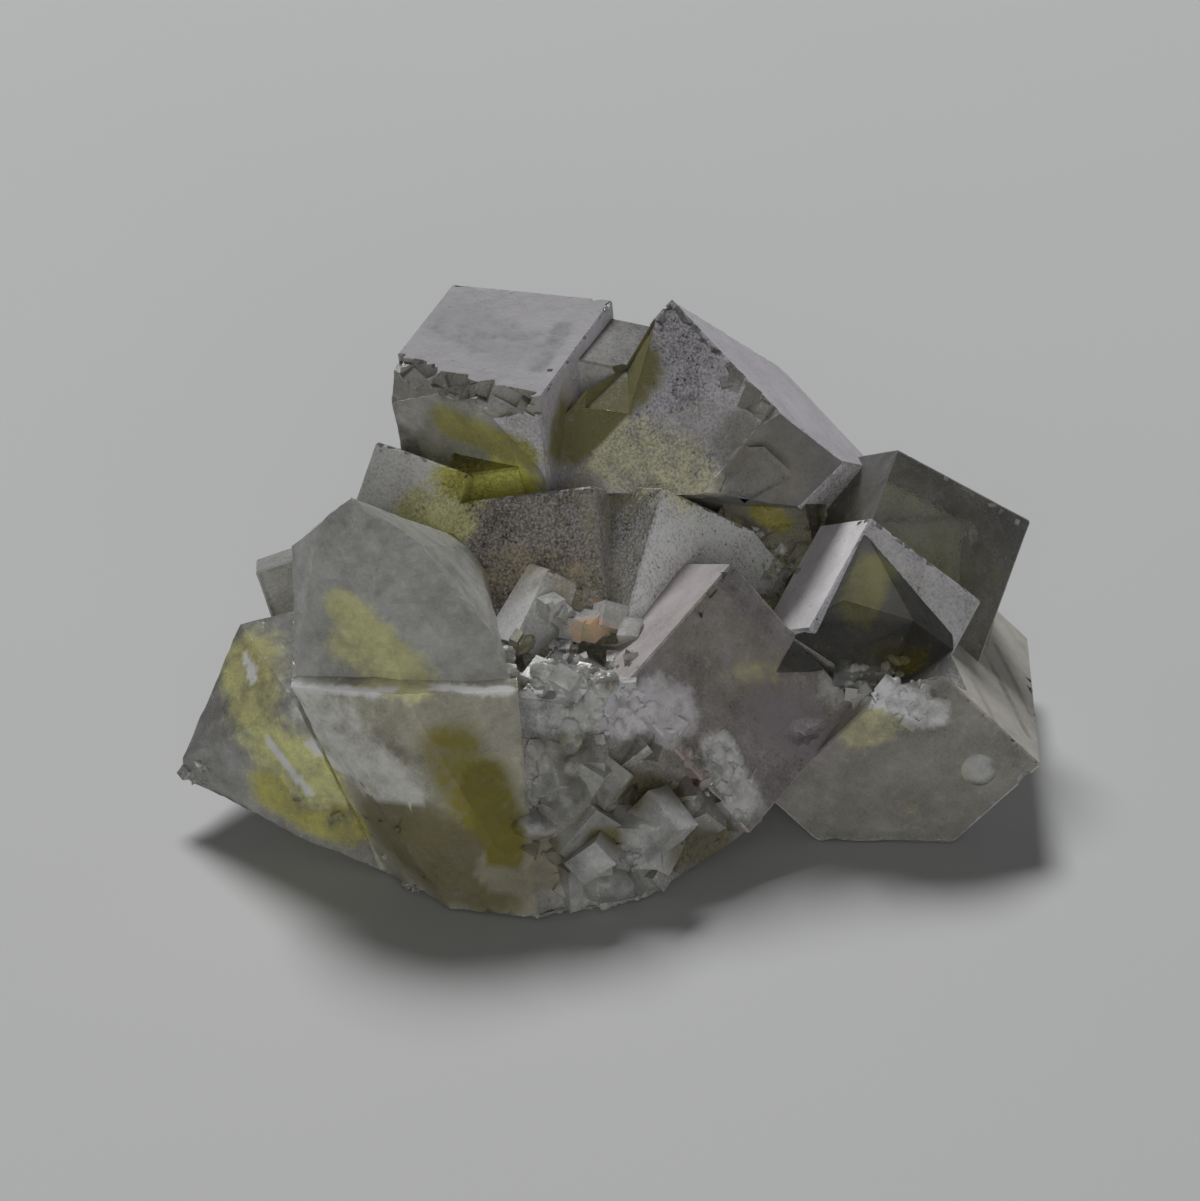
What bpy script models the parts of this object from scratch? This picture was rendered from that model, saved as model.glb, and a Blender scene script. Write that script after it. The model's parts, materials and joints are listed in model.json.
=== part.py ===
"""A hand specimen of fluorite: cubes grown into one another on a broken, rough foot.

Every length below is in millimetres and every angle in degrees; MM turns them into Blender's metres.
The specimen stands on the plane z = 0 with its front towards -Y. It is one stone, so all the crystals,
broken blocks and crumbs are joined into one solid.
"""

import math
import random
from collections import namedtuple

import bmesh
import bpy
from mathutils import Euler, Matrix, Vector, noise

MM = 0.001
NAME = "fluorite_cluster"

# A crystal is a box that hangs from one of its corners. `turn` is its XYZ rotation about that corner, and
# `span` says how far it reaches from the corner along its own three edges.
Crystal = namedtuple("Crystal", "name corner turn span")
# A cleavage cuts a crystal with one flat plane through `point`, and what lies on the side it faces is gone.
Cleavage = namedtuple("Cleavage", "crystal point facing")
# A block is a broken piece with flat faces between the corners listed.
Block = namedtuple("Block", "name corners")

CRYSTALS = (
    Crystal("back left", (0, 15, 24.4), (2, -4, -20), (-10.6, -13.2, -12)),
    Crystal("peak", (3.5, 8, 28), (-35, 28, -43), (13.5, 10.7, -14)),
    Crystal("between peaks", (2.8, 14, 23), (0, 6, -14), (-4, -6, -8)),
    Crystal("right", (17, 4, 20), (-37, 34, 9), (10.2, 9.5, -10)),
    Crystal("right front", (15.3, -1, 18.1), (-41, 41, 2), (9, 6.2, -8)),
    Crystal("low right", (25.4, -8.3, 5.3), (-8, 44, -7), (-10, 18, -13)),
    Crystal("front", (7, -4.5, 17), (-44, 51, -6), (12.2, 8, -10.5)),
    Crystal("centre", (3, 1, 19), (-25, 36, 28), (11.5, 9, -10)),
    Crystal("centre left", (-1.1, 0.5, 19.4), (-32, -12, -8), (-9.6, 8, -9)),
    Crystal("centre small", (-3.8, -3, 15.7), (-20, 38, 20), (5, 5, -5)),
    Crystal("upper left", (-14.2, 4, 20.5), (-32, 12, -18), (6, 7, -8)),
    Crystal("upper left inner", (-10, 4, 18), (6, -12, -5), (4.5, 5, -7)),
    Crystal("left edge", (-21.5, 1, 13.2), (-22, -16, 10), (6, 5, -7)),
    Crystal("back low left", (-15, 14, 11), (12, 10, 25), (11, -12, -9)),
    Crystal("back low right", (10, 14, 12), (-14, 18, -28), (-10, -11, -11)),
    Crystal("back middle", (-8, 18, 14), (8, -10, -32), (9, -9, -10)),
    Crystal("right back", (20, 13, 10), (-8, 12, 20), (-10, -10, -9)),
)

CLEAVAGES = (
    Cleavage("back left", (-10.6, 6.2, 23.5), (-4, -3, 2)),
    Cleavage("back left", (-4, 2.5, 24), (-2, -4, 1)),
    Cleavage("back left", (-5, 2.4, 21.4), (-4, -6, -2)),
    Cleavage("peak", (3.5, 8, 28), (-0.5, 2, 1)),
    Cleavage("peak", (5.2, 1, 18.5), (2.6, -9.6, 0.4)),
    Cleavage("peak", (5.2, 1, 18.5), (-1, -8, -10)),
    Cleavage("low right", (24.6, -8.3, 3.4), (5, -2, -6)),
)

BLOCKS = (
    Block("front left", (
        (-15.2, -8, 23.5), (-17.3, -7.5, 21.2), (-19, -6, 19), (-18.7, -10.8, 13), (-15.5, -12.4, 13.2),
        (-12.2, -13.6, 13.6), (-8.4, -13.4, 13.7), (-5.7, -12.9, 13.4), (-6.8, -11.4, 16), (-11, -9, 20.8),
        (-14, 2, 17), (-8, 3, 14), (-13, -6, 8), (-6, -6, 8),
    )),
    Block("front left below the ledge", (
        (-18.9, -11.9, 12.9), (-16.4, -13.2, 13.3), (-14.6, -14.2, 14), (-12.2, -14.9, 14.2),
        (-9.6, -14.7, 13.6), (-5.5, -14, 13.9), (-18.9, -9, 13), (-5.6, -11, 14), (-12, -10, 14.4),
        (-13.6, -12, 0), (-9.6, -16, 0), (-4.3, -17.2, 0), (-5.4, -15, 9.8), (-2, -8, 0),
    )),
    Block("left wedge", (
        (-22.3, -3, 12), (-23, -4, 9.2), (-25.9, -6, 4.4), (-25.9, -6, 3), (-18, -11, 1.4),
        (-13.6, -12, 0), (-18.5, -11, 11), (-16, -3, 14), (-20, 3, 5), (-14, 6, 2), (-12, 0, 12),
    )),
    Block("front right foot", (
        (-5.7, -14.1, 13.5), (-5.6, -15, 9.7), (-3.2, -12, 11.8), (1.6, -9.5, 10.8), (4.5, -9, 8.7),
        (7.6, -8.5, 4.9), (9, -7.8, 1), (6, -9.8, 1), (4.5, -11.8, 0), (1.8, -15, 0), (-0.8, -16, 0),
        (-4.3, -17, 0), (6, -2, 4), (-3, -4, 12),
    )),
    Block("behind the shard", (
        (6.5, 3.5, 17.5), (11.5, 3, 17.2), (13, 6, 16.5), (12.5, 9, 15), (6, 9, 15), (7, 5, 9), (13, 5, 9),
        (12, 9, 8), (6, 9, 8),
    )),
    Block("shard under peak", (
        (6.2, 1, 18.5), (7.2, 2, 21.3), (9, 1.5, 21.6), (11, 0.8, 19.8), (8.2, 0.5, 18.2), (9, 4.5, 18),
        (7, 4.5, 18.5),
    )),
)

# A lump is a rough broken mass: a faceted ball with its own radii, pushed in and out by `roughness`.
Lump = namedtuple("Lump", "name centre radii roughness")
LUMPS = (
    Lump("foot", (0, 1, 5.4), (16.2, 11.6, 6), 1.8),
    Lump("back foot", (4, 9, 4.6), (10, 7, 5), 1.8),
)
LUMP_GRAIN = 0.22  # noise cells in a millimetre

# Small cubes strewn along a line and half sunk in what they grow from.
Trail = namedtuple("Trail", "name start end count size")
TRAILS = (
    Trail("ledge crust", (-4, -12, 13), (1.8, -9.8, 10.8), 7, 1.5),
    Trail("front crust", (4.5, -9.6, 8.6), (8, -8.8, 4.6), 6, 1.3),
    Trail("right crust", (13.6, -5.4, 9.6), (19, -5.2, 8.2), 8, 1.6),
    Trail("middle crust", (-4.5, -4.6, 13.6), (1, -4.4, 12.4), 6, 1.4),
    Trail("left tip", (-25.6, -6, 3.8), (-24.8, -6.4, 3), 3, 0.8),
    Trail("upper rubble", (-3.5, -12.4, 8.6), (4.6, -9.2, 6.4), 4, 4.6),
    Trail("lower rubble", (-3, -14, 3.6), (4.6, -10.6, 2.6), 4, 4.2),
    Trail("front edge", (-10, -15.2, 1.2), (3, -13.6, 1.4), 8, 1.8),
    Trail("back edge", (-9, 11.5, 2), (12, 11, 2.4), 9, 2.2),
)

# What has broken away, in the same form as the blocks.
HOLLOWS = (
    Block("right front edge", (
        (14.9, -1.8, 17.4), (20.3, -2.8, 11), (11, -3.1, 12.2), (13.8, -1, 12.4),
        (18, 0, 10.4), (15, -9, 15), (9, -8, 10), (23, -7, 10), (16, -6, 8.4),
    )),
    Block("peak left edge", (
        (2.5, 7.7, 26.8), (0.9, 5.2, 21.8), (-1.7, 6.4, 21.5), (0.8, 9, 22.8), (-1.2, 9, 25), (-1.4, 3, 24),
    )),
    Block("pit in the back left top", (
        (-4.2, 6.1, 25), (-3.5, 6, 25), (-3.4, 6.8, 25), (-4.1, 6.9, 25), (-3.8, 6.5, 23.3),
    )),
    Block("front pit left", (
        (-0.5, -12.5, 6.5), (1.5, -12, 6.5), (1, -12.5, 3.5), (-0.8, -13.5, 4), (0.4, -10, 5), (0, -20, 5),
    )),
    Block("front pit right", (
        (4.5, -9.5, 7), (6.5, -9, 5.5), (5.5, -9.5, 3.5), (4, -10.5, 4.5), (5, -7, 5.5), (6, -16, 4),
    )),
)


def remove_scene_objects():
    for thing in list(bpy.data.objects):
        bpy.data.objects.remove(thing, do_unlink=True)


def new_collection(name):
    collection = bpy.data.collections.new(name)
    bpy.context.scene.collection.children.link(collection)
    return collection


def cleave(bm, point, facing):
    """Cut the closed mesh with a plane, drop what lies on the side it faces, and close the cut."""
    geometry = bm.verts[:] + bm.edges[:] + bm.faces[:]
    cut = bmesh.ops.bisect_plane(
        bm, geom=geometry, plane_co=Vector(point), plane_no=Vector(facing).normalized(), clear_outer=True
    )
    rim = [item for item in cut["geom_cut"] if isinstance(item, bmesh.types.BMEdge)]
    bmesh.ops.contextual_create(bm, geom=rim)


def crystal_bmesh(crystal):
    bm = bmesh.new()
    size = Vector([abs(length) for length in crystal.span])
    bmesh.ops.create_cube(bm, size=1.0, matrix=Matrix.Diagonal(size).to_4x4())
    turn = Euler([math.radians(angle) for angle in crystal.turn]).to_matrix()
    centre = Vector(crystal.corner) + turn @ (Vector(crystal.span) / 2)
    bm.transform(Matrix.Translation(centre) @ turn.to_4x4())
    for cut in CLEAVAGES:
        if cut.crystal == crystal.name:
            cleave(bm, cut.point, cut.facing)
    return bm


def block_bmesh(block):
    bm = bmesh.new()
    for corner in block.corners:
        bm.verts.new(corner)
    hull = bmesh.ops.convex_hull(bm, input=bm.verts[:])
    inside = {item for item in hull["geom_interior"] if isinstance(item, bmesh.types.BMVert)}
    bmesh.ops.delete(bm, geom=list(inside), context="VERTS")
    return bm


def lump_bmesh(lump):
    bm = bmesh.new()
    bmesh.ops.create_icosphere(bm, subdivisions=3, radius=1.0)
    for vert in bm.verts:
        place = Vector([axis * radius for axis, radius in zip(vert.co, lump.radii)])
        push = lump.roughness * noise.noise((place + Vector(lump.centre)) * LUMP_GRAIN)
        vert.co = Vector(lump.centre) + place + vert.normal * push
    return bm


def trail_bmeshes(trail):
    rng = random.Random(trail.name)
    for step in range(trail.count):
        along = (step + 0.5) / trail.count
        size = trail.size * rng.uniform(0.7, 1.2)
        place = Vector(trail.start).lerp(Vector(trail.end), along)
        place += Vector([rng.uniform(-0.4, 0.4) * trail.size for _ in range(3)])
        turn = Euler([rng.uniform(0, math.pi / 2) for _ in range(3)]).to_matrix().to_4x4()
        bm = bmesh.new()
        bmesh.ops.create_cube(bm, size=size, matrix=Matrix.Translation(place) @ turn)
        yield bm


def add_object(name, bm, collection):
    bmesh.ops.scale(bm, vec=(MM, MM, MM), verts=bm.verts[:])
    bmesh.ops.recalc_face_normals(bm, faces=bm.faces[:])
    mesh = bpy.data.meshes.new(name)
    bm.to_mesh(mesh)
    bm.free()
    thing = bpy.data.objects.new(name, mesh)
    collection.objects.link(thing)
    return thing


def apply_boolean(target, other, operation):
    """Join the other object to the target, or cut it out, then drop it."""
    step = target.modifiers.new(operation.title(), "BOOLEAN")
    step.operation = operation
    step.solver = "EXACT"
    step.object = other
    joined = bpy.data.meshes.new_from_object(
        target.evaluated_get(bpy.context.evaluated_depsgraph_get())
    )
    target.modifiers.clear()
    spent = target.data
    target.data = joined
    bpy.data.meshes.remove(spent)
    bpy.data.objects.remove(other, do_unlink=True)


def fluorite_material():
    material = bpy.data.materials.new("frosted fluorite")
    material.use_nodes = True
    surface = material.node_tree.nodes["Principled BSDF"]
    surface.inputs["Base Color"].default_value = (0.2, 0.2, 0.17, 1)
    surface.inputs["Roughness"].default_value = 0.4
    surface.inputs["Metallic"].default_value = 0.0
    return material


def connected_faces(start):
    """Every face that can be reached from the first one across shared edges."""
    found = {start}
    ahead = [start]
    while ahead:
        for edge in ahead.pop().edges:
            for face in edge.link_faces:
                if face not in found:
                    found.add(face)
                    ahead.append(face)
    return found


def keep_outer_skin(thing):
    """Drop crumbs that touch nothing, and the skins of gaps shut up inside, which fills them."""
    bm = bmesh.new()
    bm.from_mesh(thing.data)
    unseen = set(bm.faces)
    skins = []
    while unseen:
        skin = connected_faces(next(iter(unseen)))
        unseen -= skin
        skins.append(skin)
    skins.sort(key=lambda skin: sum(face.calc_area() for face in skin))
    for skin in skins[:-1]:
        bmesh.ops.delete(bm, geom=list(skin), context="FACES")
    bm.to_mesh(thing.data)
    bm.free()


def stand_on_origin(thing):
    """Put the origin under the middle of the specimen, on the plane it stands on."""
    places = [vert.co for vert in thing.data.vertices]
    low = Vector([min(place[axis] for place in places) for axis in range(3)])
    high = Vector([max(place[axis] for place in places) for axis in range(3)])
    thing.data.transform(Matrix.Translation((-(low.x + high.x) / 2, -(low.y + high.y) / 2, -low.z)))


def build_cluster(collection):
    shapes = [(lump.name, lump_bmesh(lump)) for lump in LUMPS]
    shapes += [(block.name, block_bmesh(block)) for block in BLOCKS]
    shapes += [(crystal.name, crystal_bmesh(crystal)) for crystal in CRYSTALS]
    shapes += [(trail.name, bm) for trail in TRAILS for bm in trail_bmeshes(trail)]
    pieces = [add_object(name, bm, collection) for name, bm in shapes]
    cluster = pieces[0]
    for piece in pieces[1:]:
        apply_boolean(cluster, piece, "UNION")
    for hollow in HOLLOWS:
        apply_boolean(cluster, add_object(hollow.name, block_bmesh(hollow), collection), "DIFFERENCE")
    ground = bmesh.new()
    bmesh.ops.create_cube(ground, size=100.0, matrix=Matrix.Translation((0, 0, -50)))
    apply_boolean(cluster, add_object("ground", ground, collection), "DIFFERENCE")
    keep_outer_skin(cluster)
    stand_on_origin(cluster)
    cluster.name = NAME
    cluster.data.name = NAME
    cluster.data.materials.clear()
    cluster.data.materials.append(fluorite_material())
    return cluster


remove_scene_objects()
build_cluster(new_collection("Fluorite cluster"))
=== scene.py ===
"""A fluorite specimen, dressed: nicked edges, hackly breaks, sparkling crusts, and dust over clear stone.

Lengths are in millimetres until the finished mesh is scaled to metres; colours are linear.
"""

import json
import math
import random
from collections import namedtuple

import bmesh
import bpy
import numpy as np
from mathutils import Euler, Matrix, Vector, noise
from mathutils.bvhtree import BVHTree

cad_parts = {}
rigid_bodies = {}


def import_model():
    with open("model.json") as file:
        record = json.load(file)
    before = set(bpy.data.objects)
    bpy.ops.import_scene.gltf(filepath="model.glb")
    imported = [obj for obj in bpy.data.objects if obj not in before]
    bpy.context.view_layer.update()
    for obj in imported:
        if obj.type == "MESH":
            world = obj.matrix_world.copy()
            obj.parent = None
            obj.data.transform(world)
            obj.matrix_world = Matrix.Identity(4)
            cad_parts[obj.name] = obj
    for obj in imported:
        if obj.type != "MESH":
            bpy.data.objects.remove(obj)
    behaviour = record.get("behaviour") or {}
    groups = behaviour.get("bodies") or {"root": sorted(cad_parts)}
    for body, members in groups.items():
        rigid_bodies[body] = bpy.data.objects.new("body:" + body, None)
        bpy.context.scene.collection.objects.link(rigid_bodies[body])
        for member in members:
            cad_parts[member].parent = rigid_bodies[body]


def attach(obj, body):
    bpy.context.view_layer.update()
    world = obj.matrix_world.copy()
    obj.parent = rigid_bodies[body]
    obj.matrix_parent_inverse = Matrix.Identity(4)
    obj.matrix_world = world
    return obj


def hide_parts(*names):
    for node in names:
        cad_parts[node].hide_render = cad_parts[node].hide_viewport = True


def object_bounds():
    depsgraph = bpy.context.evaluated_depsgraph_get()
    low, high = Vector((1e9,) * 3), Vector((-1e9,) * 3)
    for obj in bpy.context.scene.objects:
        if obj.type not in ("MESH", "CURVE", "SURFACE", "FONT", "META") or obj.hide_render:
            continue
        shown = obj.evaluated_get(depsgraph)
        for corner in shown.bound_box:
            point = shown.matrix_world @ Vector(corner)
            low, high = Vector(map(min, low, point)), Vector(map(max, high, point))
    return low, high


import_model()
cad_low, cad_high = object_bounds()

MM = 0.001
TO_FRAME = Vector((0.155, -1.215, 0))  # moves the middle of the specimen over the frame's origin
WORN_EDGE = 0.13  # width of the bevel rubbed onto each crystal edge

# ------------------------------------------------------------------------------------------------
# The stone's shapes, as they grew and broke
# ------------------------------------------------------------------------------------------------

# A crystal is a box that hangs from one of its corners. `turn` is its XYZ rotation about that corner, and
# `span` says how far it reaches from the corner along its own three edges.
Crystal = namedtuple("Crystal", "name corner turn span")
CRYSTALS = (
    Crystal("back left", (0, 15, 24.4), (2, -4, -20), (-10.6, -13.2, -12)),
    Crystal("peak", (3.5, 8, 28), (-35, 28, -43), (13.5, 10.7, -14)),
    Crystal("between peaks", (2.8, 14, 23), (0, 6, -14), (-4, -6, -8)),
    Crystal("right", (17, 4, 20), (-37, 34, 9), (10.2, 9.5, -10)),
    Crystal("right front", (15.3, -1, 18.1), (-41, 41, 2), (9, 6.2, -8)),
    Crystal("low right", (25.4, -8.3, 5.3), (-8, 44, -7), (-10, 18, -13)),
    Crystal("front", (7, -4.5, 17), (-44, 51, -6), (12.2, 8, -10.5)),
    Crystal("centre", (3, 1, 19), (-25, 36, 28), (11.5, 9, -10)),
    Crystal("centre left", (-1.1, 0.5, 19.4), (-32, -12, -8), (-9.6, 8, -9)),
    Crystal("centre small", (-3.8, -3, 15.7), (-20, 38, 20), (5, 5, -5)),
    Crystal("upper left", (-14.2, 4, 20.5), (-32, 12, -18), (6, 7, -8)),
    Crystal("upper left inner", (-10, 4, 18), (6, -12, -5), (4.5, 5, -7)),
    Crystal("left edge", (-21.5, 1, 13.2), (-22, -16, 10), (6, 5, -7)),
    Crystal("back low left", (-15, 14, 11), (12, 10, 25), (11, -12, -9)),
    Crystal("back low right", (10, 14, 12), (-14, 18, -28), (-10, -11, -11)),
    Crystal("back middle", (-8, 18, 14), (8, -10, -32), (9, -9, -10)),
    Crystal("right back", (20, 13, 10), (-8, 12, 20), (-10, -10, -9)),
)
CRYSTAL_NAMED = {crystal.name: crystal for crystal in CRYSTALS}

# A cleavage cuts a crystal with one flat plane through `point`, and what lies on the side it faces is gone.
Cleavage = namedtuple("Cleavage", "crystal point facing")
CLEAVAGES = (
    Cleavage("back left", (-10.6, 6.2, 23.5), (-4, -3, 2)),
    Cleavage("back left", (-4, 2.5, 24), (-2, -4, 1)),
    Cleavage("back left", (-5, 2.4, 21.4), (-4, -6, -2)),
    Cleavage("peak", (3.5, 8, 28), (-0.5, 2, 1)),
    Cleavage("peak", (5.2, 1, 18.5), (2.6, -9.6, 0.4)),
    Cleavage("peak", (5.2, 1, 18.5), (-1, -8, -10)),
    Cleavage("low right", (24.6, -8.3, 3.4), (5, -2, -6)),
)

# A block is a broken piece: the flat-faced hull around the corners listed.
Block = namedtuple("Block", "name corners")
BLOCKS = (
    Block("front left", (
        (-15.2, -8, 23.5), (-17.3, -7.5, 21.2), (-19, -6, 19), (-18.7, -10.8, 13), (-15.5, -12.4, 13.2),
        (-12.2, -13.6, 13.6), (-8.4, -13.4, 13.7), (-5.7, -12.9, 13.4), (-6.8, -11.4, 16), (-11, -9, 20.8),
        (-14, 2, 17), (-8, 3, 14), (-13, -6, 8), (-6, -6, 8),
    )),
    Block("front left below the ledge", (
        (-18.9, -11.9, 12.9), (-16.4, -13.2, 13.3), (-14.6, -14.2, 14), (-12.2, -14.9, 14.2),
        (-9.6, -14.7, 13.6), (-5.5, -14, 13.9), (-18.9, -9, 13), (-5.6, -11, 14), (-12, -10, 14.4),
        (-13.6, -12, 0), (-9.6, -16, 0), (-4.3, -17.2, 0), (-5.4, -15, 9.8), (-2, -8, 0),
    )),
    Block("left wedge", (
        (-22.3, -3, 12), (-23, -4, 9.2), (-25.9, -6, 4.4), (-25.9, -6, 3), (-18, -11, 1.4),
        (-13.6, -12, 0), (-18.5, -11, 11), (-16, -3, 14), (-20, 3, 5), (-14, 6, 2), (-12, 0, 12),
    )),
    Block("front right foot", (
        (-5.7, -14.1, 13.5), (-5.6, -15, 9.7), (-3.2, -12, 11.8), (1.6, -9.5, 10.8), (4.5, -9, 8.7),
        (7.6, -8.5, 4.9), (9, -7.8, 1), (6, -9.8, 1), (4.5, -11.8, 0), (1.8, -15, 0), (-0.8, -16, 0),
        (-4.3, -17, 0), (6, -2, 4), (-3, -4, 12),
    )),
    Block("behind the shard", (
        (6.5, 3.5, 17.5), (11.5, 3, 17.2), (13, 6, 16.5), (12.5, 9, 15), (6, 9, 15), (7, 5, 9), (13, 5, 9),
        (12, 9, 8), (6, 9, 8),
    )),
    Block("shard under peak", (
        (6.2, 1, 18.5), (7.2, 2, 21.3), (9, 1.5, 21.6), (11, 0.8, 19.8), (8.2, 0.5, 18.2), (9, 4.5, 18),
        (7, 4.5, 18.5),
    )),
)

# A lump is a rough broken mass: a faceted ball with its own radii, pushed in and out by `roughness`.
Lump = namedtuple("Lump", "name centre radii roughness")
LUMPS = (
    Lump("foot", (0, 1, 5.4), (16.2, 11.6, 6), 1.8),
    Lump("back foot", (4, 9, 4.6), (10, 7, 5), 1.8),
)
LUMP_GRAIN = 0.22  # noise cells in a millimetre

# Small cubes strewn along a line, partly sunk in what they grow from.
Trail = namedtuple("Trail", "name start end count size")
TRAILS = (
    Trail("ledge crust", (-4, -12, 13), (1.8, -9.8, 10.8), 7, 1.5),
    Trail("front crust", (4.5, -9.6, 8.6), (8, -8.8, 4.6), 6, 1.3),
    Trail("right crust", (13.6, -5.4, 9.6), (19, -5.2, 8.2), 8, 1.6),
    Trail("middle crust", (-4.5, -4.6, 13.6), (1, -4.4, 12.4), 6, 1.4),
    Trail("left tip", (-25.6, -6, 3.8), (-24.8, -6.4, 3), 3, 0.8),
    Trail("upper rubble", (-3.5, -12.4, 8.6), (4.6, -9.2, 6.4), 4, 4.6),
    Trail("lower rubble", (-3, -14, 3.6), (4.6, -10.6, 2.6), 4, 4.2),
    Trail("front edge", (-10, -15.2, 1.2), (3, -13.6, 1.4), 8, 1.8),
    Trail("back edge", (-9, 11.5, 2), (12, 11, 2.4), 9, 2.2),
)

# What has broken away, in the same form as the blocks.
HOLLOWS = (
    Block("right front edge", (
        (14.9, -1.8, 17.4), (20.3, -2.8, 11), (11, -3.1, 12.2), (13.8, -1, 12.4),
        (18, 0, 10.4), (15, -9, 15), (9, -8, 10), (23, -7, 10), (16, -6, 8.4),
    )),
    Block("peak left edge", (
        (2.5, 7.7, 26.8), (0.9, 5.2, 21.8), (-1.7, 6.4, 21.5), (0.8, 9, 22.8), (-1.2, 9, 25), (-1.4, 3, 24),
    )),
    Block("pit in the back left top", (
        (-4.2, 6.1, 25), (-3.5, 6, 25), (-3.4, 6.8, 25), (-4.1, 6.9, 25), (-3.8, 6.5, 23.3),
    )),
    Block("front pit left", (
        (-0.5, -12.5, 6.5), (1.5, -12, 6.5), (1, -12.5, 3.5), (-0.8, -13.5, 4), (0.4, -10, 5), (0, -20, 5),
    )),
    Block("front pit right", (
        (4.5, -9.5, 7), (6.5, -9, 5.5), (5.5, -9.5, 3.5), (4, -10.5, 4.5), (5, -7, 5.5), (6, -16, 4),
    )),
)

# Little boxes roughly in line with a crystal, chipped out along one of its edges. `sizes` is along the
# crystal's own axes.
Nicks = namedtuple("Nicks", "crystal start end count sizes")
NICKS = (
    Nicks("back left", (-13.7, 9, 23.1), (-10.8, 6.6, 23.5), 8, (1.5, 1.5, 0.9)),
    Nicks("back left", (-11, 6.3, 23.5), (-4.3, 2.2, 23.7), 16, (1.5, 1.5, 0.9)),
    Nicks("back left", (-3.9, 3.6, 23.9), (0, 14.9, 24.5), 12, (0.3, 0.5, 0.3)),
    Nicks("back left", (-9.9, 18.5, 23.8), (0, 15, 24.5), 8, (0.5, 0.3, 0.3)),
    Nicks("peak", (3.6, 7.6, 27.7), (9.3, 2.4, 23.5), 12, (0.8, 0.35, 0.35)),
    Nicks("peak", (6.9, 4.3, 24.8), (9.6, 1.8, 22.9), 9, (1.2, 0.6, 1.1)),
    Nicks("peak", (3.2, 7.8, 27.4), (2.4, 6.6, 25.6), 5, (0.3, 0.3, 0.5)),
    Nicks("right", (17, 4, 20), (24.7, 4.9, 14.3), 9, (0.5, 0.25, 0.25)),
    Nicks("right", (17, 4, 20), (12.8, 9, 19), 4, (0.25, 0.5, 0.25)),
    Nicks("right front", (15.3, -1, 18.1), (22, -0.8, 12.3), 12, (0.5, 0.25, 0.3)),
    Nicks("right front", (15.3, -1, 18.1), (12, 1.6, 15.4), 5, (0.25, 0.4, 0.25)),
    Nicks("right front", (16, -2.1, 16.6), (20.6, -2.6, 11.6), 10, (0.6, 0.3, 0.6)),
    Nicks("low right", (25.4, -8.3, 5.3), (18.4, -7.6, 12), 9, (0.4, 0.25, 0.25)),
    Nicks("low right", (25.4, -8.3, 5.3), (25.2, 9.6, 3.6), 9, (0.3, 0.6, 0.3)),
    Nicks("front", (7, -4.5, 17), (1.6, -10.4, 11.2), 8, (0.3, 0.3, 0.5)),
    Nicks("front", (7, -4.5, 17), (14, -5.4, 8.6), 8, (0.5, 0.3, 0.3)),
    Nicks("centre", (3, 1, 19), (10.4, 4.6, 13), 12, (0.5, 0.3, 0.3)),
    Nicks("centre left", (-1.1, 0.5, 19.4), (-10.4, 2, 17.4), 12, (0.5, 0.3, 0.25)),
    Nicks("centre small", (-3.8, -3, 15.7), (0, -1.8, 12.6), 4, (0.4, 0.25, 0.25)),
    Nicks("upper left", (-14.2, 4, 20.5), (-8.8, 2.4, 19.4), 8, (0.5, 0.3, 0.3)),
)

# Shallow bowls chipped out of the faces.
CHIPS = (
    Lump("ring chip", (21.7, -8.35, 5), (1.1, 0.45, 1.1), 0),
    Lump("corner chip", (24.5, -8.4, 4.3), (0.5, 0.5, 0.6), 0),
    Lump("left chip", (-19, -10.9, 4.6), (0.7, 0.6, 0.6), 0.2),
)

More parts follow.
